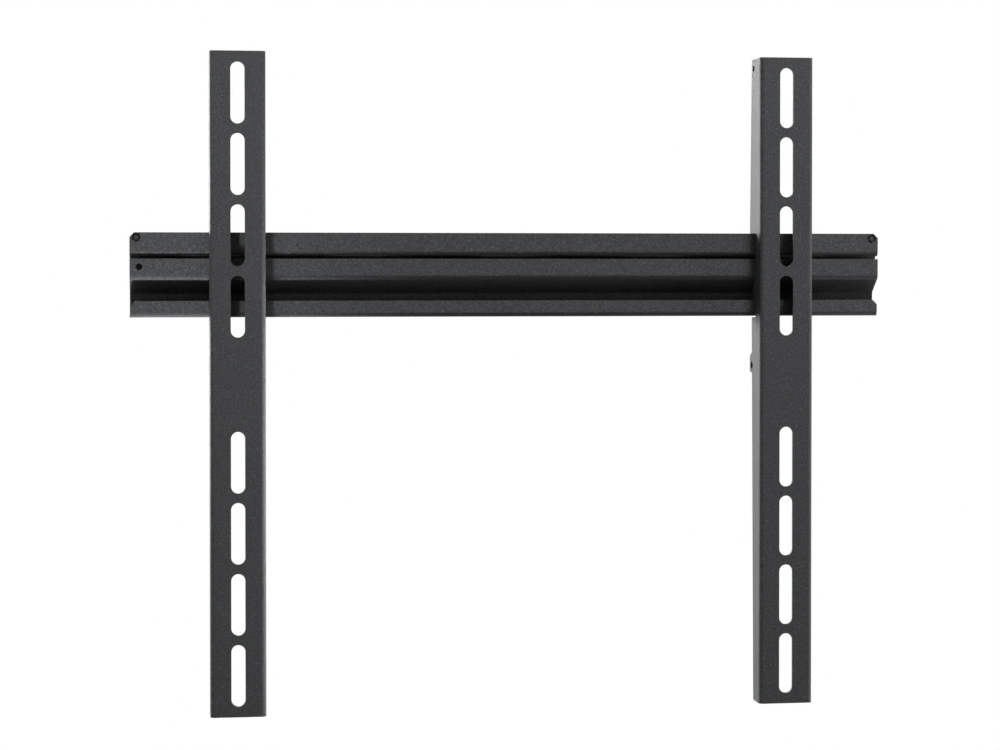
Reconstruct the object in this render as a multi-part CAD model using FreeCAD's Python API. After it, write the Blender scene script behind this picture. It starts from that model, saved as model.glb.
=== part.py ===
import FreeCAD, Part
import math
import os

# Low-profile wall mount for a flat display, in millimetres.
# The wall is the plane Y = 0, the front looks along -Y and Z is up.
# X = 0 is the middle of the rail and Z = 0 is the row of wall-screw slots.

# Wall rail: one folded sheet with an upturned lip at its top and at its bottom
rail_length = 510.0
rail_depth = 17.0
rail_sheet = 2.0
rail_bend = 1.2
top_lip_height = 15.5
shelf_step_back = 5.5
shelf_step_run = 3.0
shelf_fall = 3.5
lower_lip_height = 10.9
lip_corner = 3.0
lower_lip_setback = 0.6
recess_height = 5.2

# Wall-screw slots in the rail's web
wall_slot_drop = 27.0
wall_slot_width = 8.5
wall_slot_length = 40.0
wall_slot_pitch = 101.6
wall_slot_count = 5

# Lock bar: a folded bar that stands in the rail and bars the hooks from rising
bar_sheet = 2.0
bar_bend = 2.5
bar_top_gap = 1.9
bar_band_height = 12.9
bar_slope_drop = 10.0
bar_hole_diameter = 4.4
bar_hole_from_end = 6.2
bar_hole_drop = 5.4

# Brackets: two alike folded channels that hang on the rail
bracket_height = 440.0
bracket_width = 36.9
bracket_sheet = 2.0
bracket_bend = 1.0
bracket_above_rail = 119.4
left_bracket_x = -184.3
right_bracket_x = 187.0
mount_depth = 30.0
wall_gap = 1.5

# Display-screw slots in the bracket's face, in a group at each end
slot_width = 9.3
slot_length = 40.8
slot_pitch = 47.0
slots_per_group = 4
slot_end_margin = 7.1

# Bracket flanges: how much shallower they are than at the rail, and their small cuts
flange_top_setback = 4.2
flange_below_setback = 5.1
flange_bottom_setback = 11.2
flange_corner = 1.5
shoulder_above_rail = 5.0
flange_hole_diameter = 4.4
flange_hole_inset = 5.2
flange_hole_drop = 6.4
lug_drop = 25.0
lug_height = 14.0
lug_slope = 3.0
lug_hole_diameter = 5.2
lug_hole_inset = 5.4
lug_hole_rise = 4.8

# Hooks cut in the flanges
hook_clearance = 0.4
hook_finger_gap = 2.0
lower_roof_gap = 0.5
lower_finger_gap = 1.4
lower_hook_setback = 1.5
bar_clearance = 0.6
under_rail_gap = 1.0

# End stops: collared pins riveted through the rail's top lip
stop_from_end = 4.4
stop_drop = 3.4
stop_pin_diameter = 3.0
stop_collar_diameter = 5.6
stop_collar_length = 3.5
stop_hole_clearance = 0.1
stop_groove_width = 1.3
stop_groove_depth = 1.2

# Levels and depths that several pieces share
rail_top = wall_slot_drop
shelf_under = rail_top - top_lip_height
bar_top = shelf_under - bar_top_gap
bar_fold = bar_top - bar_band_height
foot_top = bar_fold - bar_slope_drop
lower_lip_top = foot_top - recess_height
rail_bottom = lower_lip_top - lower_lip_height
trough_floor = rail_bottom + rail_sheet
lip_back = rail_depth - rail_sheet
step_front = rail_depth - shelf_step_back
foot_front = rail_sheet + bar_sheet
bracket_top = rail_top + bracket_above_rail
bracket_bottom = bracket_top - bracket_height


def side_point(x):
    """Maps (distance from the wall, height) to a point in the plane X = x."""
    return lambda depth, height: FreeCAD.Vector(x, -depth, height)


def plan_point(x, z):
    """Maps (sideways, distance from the wall) to a point in the plane Z = z."""
    return lambda sideways, depth: FreeCAD.Vector(x + sideways, -depth, z)


def rounded_face(corners, place):
    """Face of a closed outline of (u, v, radius) corners."""
    starts, middles, ends = [], [], []
    for i, (u, v, radius) in enumerate(corners):
        corner = FreeCAD.Vector(u, v, 0)
        before = FreeCAD.Vector(*corners[i - 1][:2], 0).sub(corner).normalize()
        after = FreeCAD.Vector(*corners[(i + 1) % len(corners)][:2], 0).sub(corner).normalize()
        half = before.getAngle(after) / 2
        inward = before.add(after).normalize() if radius else FreeCAD.Vector(0, 0, 0)
        run = radius / math.tan(half) if radius else 0.0
        reach = radius / math.sin(half) - radius if radius else 0.0
        starts.append(corner + before * run)
        middles.append(corner + inward * reach)
        ends.append(corner + after * run)
    edges = []
    for i, (u, v, radius) in enumerate(corners):
        here = [place(p.x, p.y) for p in (starts[i], middles[i], ends[i])]
        following = starts[(i + 1) % len(corners)]
        if radius:
            edges.append(Part.Arc(*here).toShape())
        edges.append(Part.makeLine(here[2], place(following.x, following.y)))
    return Part.Face(Part.Wire(edges))


def folded_corners(path, sheet, inner_radius):
    """Corners of a folded sheet's section: the path is one face, the sheet lies to its right."""
    points = [FreeCAD.Vector(u, v, 0) for u, v in path]
    ways = [b.sub(a).normalize() for a, b in zip(points, points[1:])]
    rights = [FreeCAD.Vector(way.y, -way.x, 0) for way in ways]
    near = [(points[0].x, points[0].y, 0)]
    first = points[0] + rights[0] * sheet
    far = [(first.x, first.y, 0)]
    for i in range(1, len(ways)):
        turns_right = ways[i - 1].cross(ways[i]).z < 0
        mitre = (rights[i - 1] + rights[i]) * (sheet / (1 + rights[i - 1].dot(rights[i])))
        other = points[i] + mitre
        outer_radius = inner_radius + sheet
        near.append((points[i].x, points[i].y, outer_radius if turns_right else inner_radius))
        far.append((other.x, other.y, inner_radius if turns_right else outer_radius))
    last = points[-1] + rights[-1] * sheet
    near.append((points[-1].x, points[-1].y, 0))
    far.append((last.x, last.y, 0))
    return near + far[::-1]


def obround(x, z, width, length, upright, depths):
    """Cutter for a round-ended slot through the sheet between two distances from the wall."""
    half_straight = (length - width) / 2
    step = FreeCAD.Vector(0, 0, half_straight) if upright else FreeCAD.Vector(half_straight, 0, 0)
    centre = FreeCAD.Vector(x, -depths[0], z)
    along = FreeCAD.Vector(0, depths[0] - depths[1], 0)
    thin = FreeCAD.Vector(width / 2, 0, 0) if upright else FreeCAD.Vector(0, 0, width / 2)
    corners = [centre + step + thin, centre + step - thin, centre - step - thin, centre - step + thin]
    middle = Part.Face(Part.makePolygon(corners + corners[:1])).extrude(along)
    ends = [Part.makeCylinder(width / 2, along.Length, centre + s, along) for s in (step, step * -1)]
    return middle.fuse(ends)


def corner_cutter(side, height, size, setback):
    """Prism that takes the corner off the end of a lip whose top edge is at this height."""
    end = side * rail_length / 2
    past = side * 1.0
    points = [
        (end + past, height + 1.0),
        (end - side * (setback + size + 1.0), height + 1.0),
        (end - side * setback, height - size),
        (end + past, height - size),
    ]
    start_depth = lip_back - 0.01
    outline = [FreeCAD.Vector(x, -start_depth, z) for x, z in points]
    face = Part.Face(Part.makePolygon(outline + outline[:1]))
    return face.extrude(FreeCAD.Vector(0, -(rail_sheet + 1.0), 0))


def setback_cutter(side):
    """Block that trims the end of the lower lip below its top corner, its bend included."""
    end = side * rail_length / 2
    low = rail_bottom - 1.0
    size = (lower_lip_setback + 1.0, rail_sheet + rail_bend + 1.0, lower_lip_top - lip_corner - low)
    x = end - lower_lip_setback if side > 0 else end - 1.0
    return Part.makeBox(*size, FreeCAD.Vector(x, -(rail_depth + 1.0), low))


def stop_axis(side):
    """Point on an end stop's axis, in the wall plane."""
    return FreeCAD.Vector(side * (rail_length / 2 - stop_from_end), 0, rail_top - stop_drop)


def stop_hole_cutter(side):
    """Through hole for an end stop, with a wider groove at the lip's front."""
    outward = FreeCAD.Vector(0, -1, 0)
    radius = stop_pin_diameter / 2 + stop_hole_clearance
    hole = Part.makeCylinder(radius, rail_sheet + 2.0, stop_axis(side) + outward * (lip_back - 1.0), outward)
    base = stop_axis(side) + outward * (rail_depth - stop_groove_depth)
    groove = Part.makeCylinder(radius + stop_groove_width, stop_groove_depth + 1.0, base, outward)
    return hole.fuse(groove)


def make_wall_rail():
    path = [
        (rail_depth, rail_top),
        (rail_depth, shelf_under),
        (step_front, shelf_under),
        (step_front - shelf_step_run, shelf_under - shelf_fall),
        (rail_sheet, shelf_under - shelf_fall),
        (rail_sheet, trough_floor),
        (lip_back, trough_floor),
        (lip_back, lower_lip_top),
    ]
    section = rounded_face(folded_corners(path, rail_sheet, rail_bend), side_point(-rail_length / 2))
    rail = section.extrude(FreeCAD.Vector(rail_length, 0, 0))
    cutters = []
    for i in range(wall_slot_count):
        x = (i - (wall_slot_count - 1) / 2) * wall_slot_pitch
        cutters.append(obround(x, 0, wall_slot_width, wall_slot_length, False, (-1.0, rail_sheet + 1.0)))
    for side in (-1, 1):
        cutters.append(corner_cutter(side, rail_top, lip_corner, 0.0))
        cutters.append(corner_cutter(side, lower_lip_top, lip_corner, lower_lip_setback))
        cutters.append(setback_cutter(side))
        cutters.append(stop_hole_cutter(side))
    return rail.cut(cutters)


def make_lock_bar():
    path = [
        (rail_depth, bar_top),
        (rail_depth, bar_fold),
        (foot_front, foot_top),
        (foot_front, trough_floor),
    ]
    section = rounded_face(folded_corners(path, bar_sheet, bar_bend), side_point(-rail_length / 2))
    bar = section.extrude(FreeCAD.Vector(rail_length, 0, 0))
    relief = rail_bend + 0.1
    heel = [(rail_sheet, trough_floor), (rail_sheet, trough_floor + relief), (rail_sheet + relief, trough_floor)]
    outline = [side_point(-rail_length / 2)(depth, height) for depth, height in heel]
    heel_cut = Part.Face(Part.makePolygon(outline + outline[:1])).extrude(FreeCAD.Vector(rail_length, 0, 0))
    hole_at = FreeCAD.Vector(bar_hole_from_end - rail_length / 2, -(rail_depth + 1.0), bar_top - bar_hole_drop)
    hole = Part.makeCylinder(bar_hole_diameter / 2, bar_sheet + 2.0, hole_at, FreeCAD.Vector(0, 1, 0))
    return bar.cut([heel_cut, hole])


def under_bar(depth):
    """Height of the line that keeps the bar's clearance below its sloping leg."""
    run = rail_depth - foot_front
    lowering = bar_clearance * math.hypot(run, bar_slope_drop) / run
    return bar_fold - (rail_depth - depth) * bar_slope_drop / run - lowering


def flange_back(height):
    """Distance of the flange's back edge from the wall, below the rail."""
    top = rail_bottom - under_rail_gap
    share = (top - height) / (top - bracket_bottom)
    return wall_gap + flange_below_setback + share * (flange_bottom_setback - flange_below_setback)


def flange_outline():
    """Side view of a bracket: tapered flanges with two hooks and a lug."""
    past_front = mount_depth + 1.0
    finger_end = shelf_under + rail_sheet + hook_finger_gap
    lower_finger_end = trough_floor + lower_finger_gap
    behind_lip = lip_back - hook_clearance
    before_lip = rail_depth + hook_clearance
    lower_back = foot_front + lower_hook_setback
    lower_roof = lower_lip_top + lower_roof_gap
    below_rail = rail_bottom - under_rail_gap
    lug_top = rail_bottom - lug_drop
    lug_bottom = lug_top - lug_height
    return [
        (past_front, bracket_top, 0),
        (wall_gap + flange_top_setback, bracket_top, flange_corner),
        (wall_gap, rail_top + shoulder_above_rail, 0),
        (wall_gap, finger_end, 3.0),
        (behind_lip, finger_end, 2.0),
        (behind_lip, rail_top, 0),
        (before_lip, rail_top, 0),
        (before_lip, under_bar(before_lip), 0.8),
        (lower_back, under_bar(lower_back), 1.0),
        (lower_back, lower_finger_end, 2.0),
        (behind_lip, lower_finger_end, 2.0),
        (behind_lip, lower_roof, 0.6),
        (before_lip, lower_roof, 0.6),
        (before_lip, below_rail, 1.0),
        (flange_back(below_rail), below_rail, flange_corner),
        (flange_back(lug_top), lug_top, 0),
        (wall_gap, lug_top - lug_slope, 1.0),
        (wall_gap, lug_bottom, 1.0),
        (flange_back(lug_bottom), lug_bottom, 1.0),
        (flange_back(bracket_bottom), bracket_bottom, flange_corner),
        (past_front, bracket_bottom, 0),
    ]


def cross_hole(x, depth, height, diameter):
    """Cutter for a hole through both flanges."""
    start = FreeCAD.Vector(x - bracket_width / 2 - 1.0, -depth, height)
    return Part.makeCylinder(diameter / 2, bracket_width + 2.0, start, FreeCAD.Vector(1, 0, 0))


def make_bracket(x):
    half = bracket_width / 2
    path = [(-half, 0), (-half, mount_depth), (half, mount_depth), (half, 0)]
    section = rounded_face(folded_corners(path, bracket_sheet, bracket_bend), plan_point(x, bracket_bottom))
    channel = section.extrude(FreeCAD.Vector(0, 0, bracket_height))
    outline = rounded_face(flange_outline(), side_point(x - half - 1.0))
    bracket = channel.common(outline.extrude(FreeCAD.Vector(bracket_width + 2.0, 0, 0)))
    cutters = []
    depths = (mount_depth - bracket_sheet - 1.0, mount_depth + 1.0)
    for i in range(slots_per_group):
        from_end = slot_end_margin + slot_length / 2 + i * slot_pitch
        for z in (bracket_top - from_end, bracket_bottom + from_end):
            cutters.append(obround(x, z, slot_width, slot_length, True, depths))
    hole_depth = wall_gap + flange_top_setback + flange_hole_inset
    cutters.append(cross_hole(x, hole_depth, bracket_top - flange_hole_drop, flange_hole_diameter))
    lug_hole_height = rail_bottom - lug_drop - lug_height + lug_hole_rise
    cutters.append(cross_hole(x, wall_gap + lug_hole_inset, lug_hole_height, lug_hole_diameter))
    return bracket.cut(cutters)


def make_end_stop(side):
    outward = FreeCAD.Vector(0, -1, 0)
    pin = Part.makeCylinder(stop_pin_diameter / 2, rail_sheet, stop_axis(side) + outward * lip_back, outward)
    collar_at = stop_axis(side) + outward * (lip_back - stop_collar_length)
    collar = Part.makeCylinder(stop_collar_diameter / 2, stop_collar_length, collar_at, outward)
    return pin.fuse(collar)


pieces = {
    "wall_rail": make_wall_rail(),
    "lock_bar": make_lock_bar(),
    "left_bracket": make_bracket(left_bracket_x),
    "right_bracket": make_bracket(right_bracket_x),
    "left_end_stop": make_end_stop(-1),
    "right_end_stop": make_end_stop(1),
}
os.makedirs("parts", exist_ok=True)
for name, shape in pieces.items():
    shape.exportStep("parts/" + name + ".step")
    box = shape.BoundBox
    print(name, len(shape.Solids), shape.isValid(), round(shape.Volume), [round(v, 2) for v in (
        box.XMin, box.XMax, box.YMin, box.YMax, box.ZMin, box.ZMax)])
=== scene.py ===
# %% [markdown]
# A black display wall mount is dressed here for its picture. The mount is a long folded rail with two
# slotted brackets hung on it, all in steel with a fine-textured black powder coat. The solids already
# have their true folds, slots and hooks, so the lesson is about finish, light and camera. We first
# load the solids as a fixed frame.

# %% Load the frame
import math
import bpy
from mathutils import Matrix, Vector

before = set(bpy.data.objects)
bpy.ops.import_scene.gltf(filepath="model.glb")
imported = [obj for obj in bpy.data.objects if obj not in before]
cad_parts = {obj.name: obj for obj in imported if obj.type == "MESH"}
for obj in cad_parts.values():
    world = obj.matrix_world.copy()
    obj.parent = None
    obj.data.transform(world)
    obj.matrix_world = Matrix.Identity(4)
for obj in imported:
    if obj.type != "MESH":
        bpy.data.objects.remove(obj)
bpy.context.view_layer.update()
print("nodes:", sorted(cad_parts))

# %% [markdown]
# Powder paint melts into a skin that is not quite smooth: a fine orange-peel of about a millimetre
# and a slower drift in how much it shines. On top come pale specks, which are painted glints: a
# lighter colour painted into the coat where single grains would catch the light. Every piece of the
# mount wears this coat, so it is one node group. It gives out a colour, a roughness and a height, all
# of them changing over the surface. The shader itself stays in each material, where its constant
# values can be set on its own sockets.

# %% Powder coat group
def add_node(tree, kind, place, sockets=None, **settings):
    """Add a node at a place, with its settings and the values of its input sockets."""
    node = tree.nodes.new(kind)
    node.location = place
    for name, value in settings.items():
        setattr(node, name, value)
    for name, value in (sockets or {}).items():
        node.inputs[name].default_value = value
    return node


coat = bpy.data.node_groups.new("Powder coat", "ShaderNodeTree")
for name, kind in (("Tone", "Color"), ("Glint", "Color"), ("Grain", "Float"),
                   ("Shine low", "Float"), ("Shine high", "Float")):
    coat.interface.new_socket(name, in_out="INPUT", socket_type="NodeSocket" + kind)
for name, kind in (("Color", "Color"), ("Roughness", "Float"), ("Height", "Float")):
    coat.interface.new_socket(name, in_out="OUTPUT", socket_type="NodeSocket" + kind)
entry = add_node(coat, "NodeGroupInput", (-900, 0))
leave = add_node(coat, "NodeGroupOutput", (700, 0))
where = add_node(coat, "ShaderNodeTexCoord", (-900, -300))

DRIFT_SCALE = 22.0
GLINT_SCALE = 900.0
peel = add_node(coat, "ShaderNodeTexNoise", (-600, -250), {"Detail": 3.0, "Roughness": 0.6})
drift = add_node(coat, "ShaderNodeTexNoise", (-600, -550), {"Scale": DRIFT_SCALE, "Detail": 2.0})
grains = add_node(coat, "ShaderNodeTexVoronoi", (-600, -800), {"Scale": GLINT_SCALE})
for texture in (peel, drift, grains):
    coat.links.new(where.outputs["Object"], texture.inputs["Vector"])
coat.links.new(entry.outputs["Grain"], peel.inputs["Scale"])
print("powder coat sockets:", [item.name for item in coat.interface.items_tree])

# %% [markdown]
# The painted glints come from a cell pattern. Each cell has a random value, and only cells with a
# high one are let through, more strongly the higher it is, and only near their centre. The tone is
# also lifted and lowered a little by the peel, so that the coat looks grainy from close by and even
# from far away.

# %% Powder coat colour, shine and height
def map_range(tree, place, start, end, low=0.0, high=1.0):
    """Add a node that turns the range from start to end into the range from low to high."""
    limits = {"From Min": start, "From Max": end, "To Min": low, "To Max": high}
    return add_node(tree, "ShaderNodeMapRange", place, limits)


# Painted glints: a pale colour painted into random cells, near their centres, where single grains
# would catch the light.
GLINT_FROM = 0.70
GLINT_RIM, GLINT_CORE = 0.45, 0.10
split = add_node(coat, "ShaderNodeSeparateColor", (-480, -800))
pick = map_range(coat, (-350, -800), GLINT_FROM, 1.0)
core = map_range(coat, (-350, -1050), GLINT_RIM, GLINT_CORE)
glint_mask = add_node(coat, "ShaderNodeMath", (-100, -850), operation="MULTIPLY")
coat.links.new(grains.outputs["Color"], split.inputs["Color"])
coat.links.new(split.outputs["Red"], pick.inputs["Value"])
coat.links.new(grains.outputs["Distance"], core.inputs["Value"])
coat.links.new(pick.outputs["Result"], glint_mask.inputs[0])
coat.links.new(core.outputs["Result"], glint_mask.inputs[1])

NOISE_LOW, NOISE_HIGH = 0.30, 0.70
TONE_LOW, TONE_HIGH = 0.60, 1.42
lift = map_range(coat, (-350, -250), NOISE_LOW, NOISE_HIGH, TONE_LOW, TONE_HIGH)
grainy = add_node(coat, "ShaderNodeVectorMath", (-100, 0), operation="SCALE")
glinted = add_node(coat, "ShaderNodeMix", (150, 0), data_type="RGBA")
coat.links.new(peel.outputs["Fac"], lift.inputs["Value"])
coat.links.new(entry.outputs["Tone"], grainy.inputs[0])
coat.links.new(lift.outputs["Result"], grainy.inputs["Scale"])
# This mix paints the pale glint colour over the grainy tone, as a painted glint.
coat.links.new(glint_mask.outputs["Value"], glinted.inputs["Factor"])
coat.links.new(grainy.outputs["Vector"], glinted.inputs["A"])
coat.links.new(entry.outputs["Glint"], glinted.inputs["B"])
coat.links.new(glinted.outputs["Result"], leave.inputs["Color"])

shine = map_range(coat, (-100, -500), NOISE_LOW, NOISE_HIGH)
coat.links.new(drift.outputs["Fac"], shine.inputs["Value"])
coat.links.new(entry.outputs["Shine low"], shine.inputs["To Min"])
coat.links.new(entry.outputs["Shine high"], shine.inputs["To Max"])
coat.links.new(shine.outputs["Result"], leave.inputs["Roughness"])
coat.links.new(peel.outputs["Fac"], leave.inputs["Height"])
print("powder coat nodes:", len(coat.nodes))

# %% [markdown]
# The brackets and the rail come off the same paint line, but the rail's specks show a little more in
# the photograph, and the small end stops are smoother because they are turned and not rolled. Each
# material places the same group with its own values.

# %% Coat materials
COAT_SPECULAR = 0.2
PEEL_DEPTH = 0.0002


def coat_material(name, tone, glint, grain, shine, bump):
    """Make a coat from its tone, painted glint colour, grain scale, roughness range and bump
    strength.
    """
    material = bpy.data.materials.new(name)
    material.use_nodes = True
    tree = material.node_tree
    shader = tree.nodes["Principled BSDF"]
    shader.inputs["Specular IOR Level"].default_value = COAT_SPECULAR
    group = add_node(tree, "ShaderNodeGroup", (-600, 0), node_tree=coat)
    group.inputs["Tone"].default_value = (*tone, 1.0)
    group.inputs["Glint"].default_value = (*glint, 1.0)
    group.inputs["Grain"].default_value = grain
    group.inputs["Shine low"].default_value, group.inputs["Shine high"].default_value = shine
    depth = {"Strength": bump, "Distance": PEEL_DEPTH}
    relief = add_node(tree, "ShaderNodeBump", (-300, -250), depth)
    tree.links.new(group.outputs["Color"], shader.inputs["Base Color"])
    tree.links.new(group.outputs["Roughness"], shader.inputs["Roughness"])
    tree.links.new(group.outputs["Height"], relief.inputs["Height"])
    tree.links.new(relief.outputs["Normal"], shader.inputs["Normal"])
    return material


# Each coat's pale second colour is the painted glint in its specks.
bracket_coat = coat_material(
    "Bracket coat", tone=(0.042, 0.043, 0.045), glint=(0.118, 0.120, 0.126),
    grain=800.0, shine=(0.52, 0.62), bump=0.45)
rail_coat = coat_material(
    "Rail coat", tone=(0.041, 0.042, 0.044), glint=(0.135, 0.138, 0.144),
    grain=850.0, shine=(0.50, 0.60), bump=0.5)
stop_coat = coat_material(
    "Stop coat", tone=(0.042, 0.043, 0.045), glint=(0.080, 0.082, 0.086),
    grain=1100.0, shine=(0.38, 0.45), bump=0.3)
finishes = {
    "wall_rail": rail_coat, "lock_bar": rail_coat,
    "left_bracket": bracket_coat, "right_bracket": bracket_coat,
    "left_end_stop": stop_coat, "right_end_stop": stop_coat,
}
for name, material in finishes.items():
    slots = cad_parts[name].material_slots
    for slot in slots:
        slot.material = material
    print(name, "wears", material.name, "in", len(slots), "slot")

# %% [markdown]
# The mount was photographed against white. The camera's rays, mirrored rays and rays through glass
# see the floor and the surround as plain white, and all others find them dim, so the background turns
# white without more light on the black coat. The floor lies well below the mount, which belongs high
# on a wall. Near the middle a little of the floor's own matt paint stays in view, and with it the
# mount's soft shadow.

# %% Floor
def seen_rays(tree, place):
    """Give 1 for rays by which the camera sees a surface: direct, mirrored or through glass."""
    path = add_node(tree, "ShaderNodeLightPath", place)
    plain = add_node(tree, "ShaderNodeMath", (place[0] + 200, place[1]), operation="MAXIMUM")
    every = add_node(tree, "ShaderNodeMath", (place[0] + 400, place[1]), operation="MAXIMUM")
    tree.links.new(path.outputs["Is Camera Ray"], plain.inputs[0])
    tree.links.new(path.outputs["Is Glossy Ray"], plain.inputs[1])
    tree.links.new(plain.outputs["Value"], every.inputs[0])
    tree.links.new(path.outputs["Is Transmission Ray"], every.inputs[1])
    return every.outputs["Value"]


WHITE = (1.0, 1.0, 1.0, 1.0)
FLOOR_GREY = (0.18, 0.18, 0.18, 1.0)
FLOOR_SIZE = 60.0
FLOOR_HEIGHT = -1.30
FADE_START, FADE_END = 0.6, 3.5
MIDDLE_WHITE = 0.86
bpy.ops.object.select_all(action="DESELECT")
bpy.ops.mesh.primitive_plane_add(size=FLOOR_SIZE, location=(0.0, 0.0, FLOOR_HEIGHT))
floor = bpy.context.object
floor.name = "Floor"
floor_paint = bpy.data.materials.new("Pale floor")
floor_paint.use_nodes = True
floor_tree = floor_paint.node_tree
matt = floor_tree.nodes["Principled BSDF"]
matt.inputs["Base Color"].default_value = FLOOR_GREY
matt.inputs["Roughness"].default_value = 0.9
bright = add_node(floor_tree, "ShaderNodeEmission", (0, -300), {"Color": WHITE, "Strength": 1.0})
spot = add_node(floor_tree, "ShaderNodeTexCoord", (-700, 600))
reach = add_node(floor_tree, "ShaderNodeVectorMath", (-500, 600), operation="LENGTH")
fade = map_range(floor_tree, (-300, 600), FADE_START, FADE_END, MIDDLE_WHITE, 1.0)
share = add_node(floor_tree, "ShaderNodeMath", (80, 450), operation="MULTIPLY")
blend = add_node(floor_tree, "ShaderNodeMixShader", (250, 100))
surface = floor_tree.nodes["Material Output"].inputs["Surface"]
floor_tree.links.new(spot.outputs["Object"], reach.inputs[0])
floor_tree.links.new(reach.outputs["Value"], fade.inputs["Value"])
floor_tree.links.new(seen_rays(floor_tree, (-500, 300)), share.inputs[0])
floor_tree.links.new(fade.outputs["Result"], share.inputs[1])
floor_tree.links.new(share.outputs["Value"], blend.inputs["Fac"])
floor_tree.links.new(matt.outputs["BSDF"], blend.inputs[1])
floor_tree.links.new(bright.outputs["Emission"], blend.inputs[2])
floor_tree.links.new(blend.outputs["Shader"], surface)
floor.data.materials.append(floor_paint)
print("floor at", FLOOR_HEIGHT, "m")

# %% [markdown]
# The world follows the same rule as the floor: white wherever the camera sees it, also in the coat's
# own sheen, and only a dim grey as a source of light.

# %% Surround
DIM = 0.05
world = bpy.data.worlds.new("White surround")
bpy.context.scene.world = world
world.use_nodes = True
sky_tree = world.node_tree
sky = sky_tree.nodes["Background"]
sky.inputs["Color"].default_value = WHITE
level = map_range(sky_tree, (-250, 0), 0.0, 1.0, DIM, 1.0)
sky_tree.links.new(seen_rays(sky_tree, (-900, 0)), level.inputs["Value"])
sky_tree.links.new(level.outputs["Result"], sky.inputs["Strength"])
print("surround lights with", DIM, "and is seen with", level.inputs["To Max"].default_value)

# %% [markdown]
# The shadows on the rail tell where the main lamps stood. The left bracket's falls to the right,
# narrow and sharp, and the right bracket's to the left, wider and soft. So a small lamp stands high
# in front on the left and a broad one on the right, each with a beam that mostly keeps to its own
# half and fades downwards. The left flanges are pale and the folds beside them dark, so their lamp
# stands on the left and behind. Two more keep the back and the right side readable.

# %% Lamps
def lamp(name, place, target, power, size, spread=180.0):
    """Add a square lamp that points at a target, with a beam of so many degrees."""
    bpy.ops.object.light_add(type="AREA", location=place)
    made = bpy.context.object
    made.name = name
    made.data.energy = power
    made.data.size = size
    made.data.spread = math.radians(spread)
    made.rotation_euler = (Vector(target) - Vector(place)).to_track_quat("-Z", "Y").to_euler()
    print(name, "at", place, "with", power, "W")
    return made


MIDDLE = (0.0, -0.02, -0.07)
lamp("Left key", (-0.48, -0.62, 1.90), (-0.24, 0.12, 0.0), power=1.95, size=0.08, spread=24.0)
lamp("Right key", (0.48, -0.62, 1.90), (0.24, 0.12, 0.0), power=2.45, size=0.36, spread=24.0)
lamp("Side", (-1.25, 1.15, 0.10), MIDDLE, power=37.0, size=0.6)
lamp("Back", (-0.5, 1.8, 1.0), MIDDLE, power=75.0, size=1.0)
lamp("Fill", (2.2, -0.3, -0.3), MIDDLE, power=28.0, size=1.0)

# %% [markdown]
# Three narrow accents follow. Two shine up from below on the folds at the rail's ends, strongly at
# the left and weakly at the right. One shines from the right on the left bracket's inner fold, which
# is pale below the rail in the photograph. Each lights only the pieces that it is meant for, and it
# lights their paint without a gleam of its own.

# %% Accents
ACCENT_SIZE = 0.10
RAIL_SHEETS = ("wall_rail", "lock_bar")


def accent(name, place, target, power, spread, pieces):
    """Add a small lamp with a beam of so many degrees that lights only some pieces."""
    made = lamp(name, place, target, power, ACCENT_SIZE, spread)
    made.visible_glossy = False
    lit = bpy.data.collections.new(name + " pieces")
    for piece in pieces:
        lit.objects.link(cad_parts[piece])
    made.light_linking.receiver_collection = lit


accent("Low left", (-0.27, -0.15, -1.15), (-0.24, -0.017, 0.0),
       power=0.46, spread=15.0, pieces=RAIL_SHEETS)
accent("Low right", (0.27, -0.15, -1.15), (0.25, -0.017, 0.0),
       power=0.06, spread=14.0, pieces=RAIL_SHEETS)
accent("Edge", (0.75, 0.0, -0.15), (-0.166, -0.02, -0.11),
       power=3.6, spread=30.0, pieces=("left_bracket",))

# %% [markdown]
# The camera's place and lens come from the mount's own edges. It stands to the left of the middle and
# turns to the right, which shows a strip of the right bracket's inner flange. It looks down by about
# one degree, and a small shift does the rest of the framing, so that the uprights stay as good as
# parallel.

# %% Camera
PHOTO_WIDTH, PHOTO_HEIGHT = 1000.0, 750.0
FOCAL_PIXELS = 2378.5
AXIS_ROW = 310.0
SENSOR_WIDTH = 36.0
CAMERA_PLACE = (-0.2300, -1.6059, 0.0024)
YAW, DIP = math.radians(7.952), math.radians(0.976)
CLIP_NEAR, CLIP_FAR = 0.05, 50.0
bpy.ops.object.camera_add(
    location=CAMERA_PLACE, rotation=(math.radians(90.0) - DIP, 0.0, -YAW))
camera = bpy.context.object
camera.data.sensor_fit = "HORIZONTAL"
camera.data.sensor_width = SENSOR_WIDTH
camera.data.lens = FOCAL_PIXELS / PHOTO_WIDTH * SENSOR_WIDTH
camera.data.shift_y = (AXIS_ROW - PHOTO_HEIGHT / 2.0) / PHOTO_WIDTH
camera.data.clip_start = CLIP_NEAR
camera.data.clip_end = CLIP_FAR
bpy.context.scene.camera = camera
bpy.context.scene.view_settings.view_transform = "Standard"
print("lens", round(camera.data.lens, 1), "mm, shift", round(camera.data.shift_y, 3))
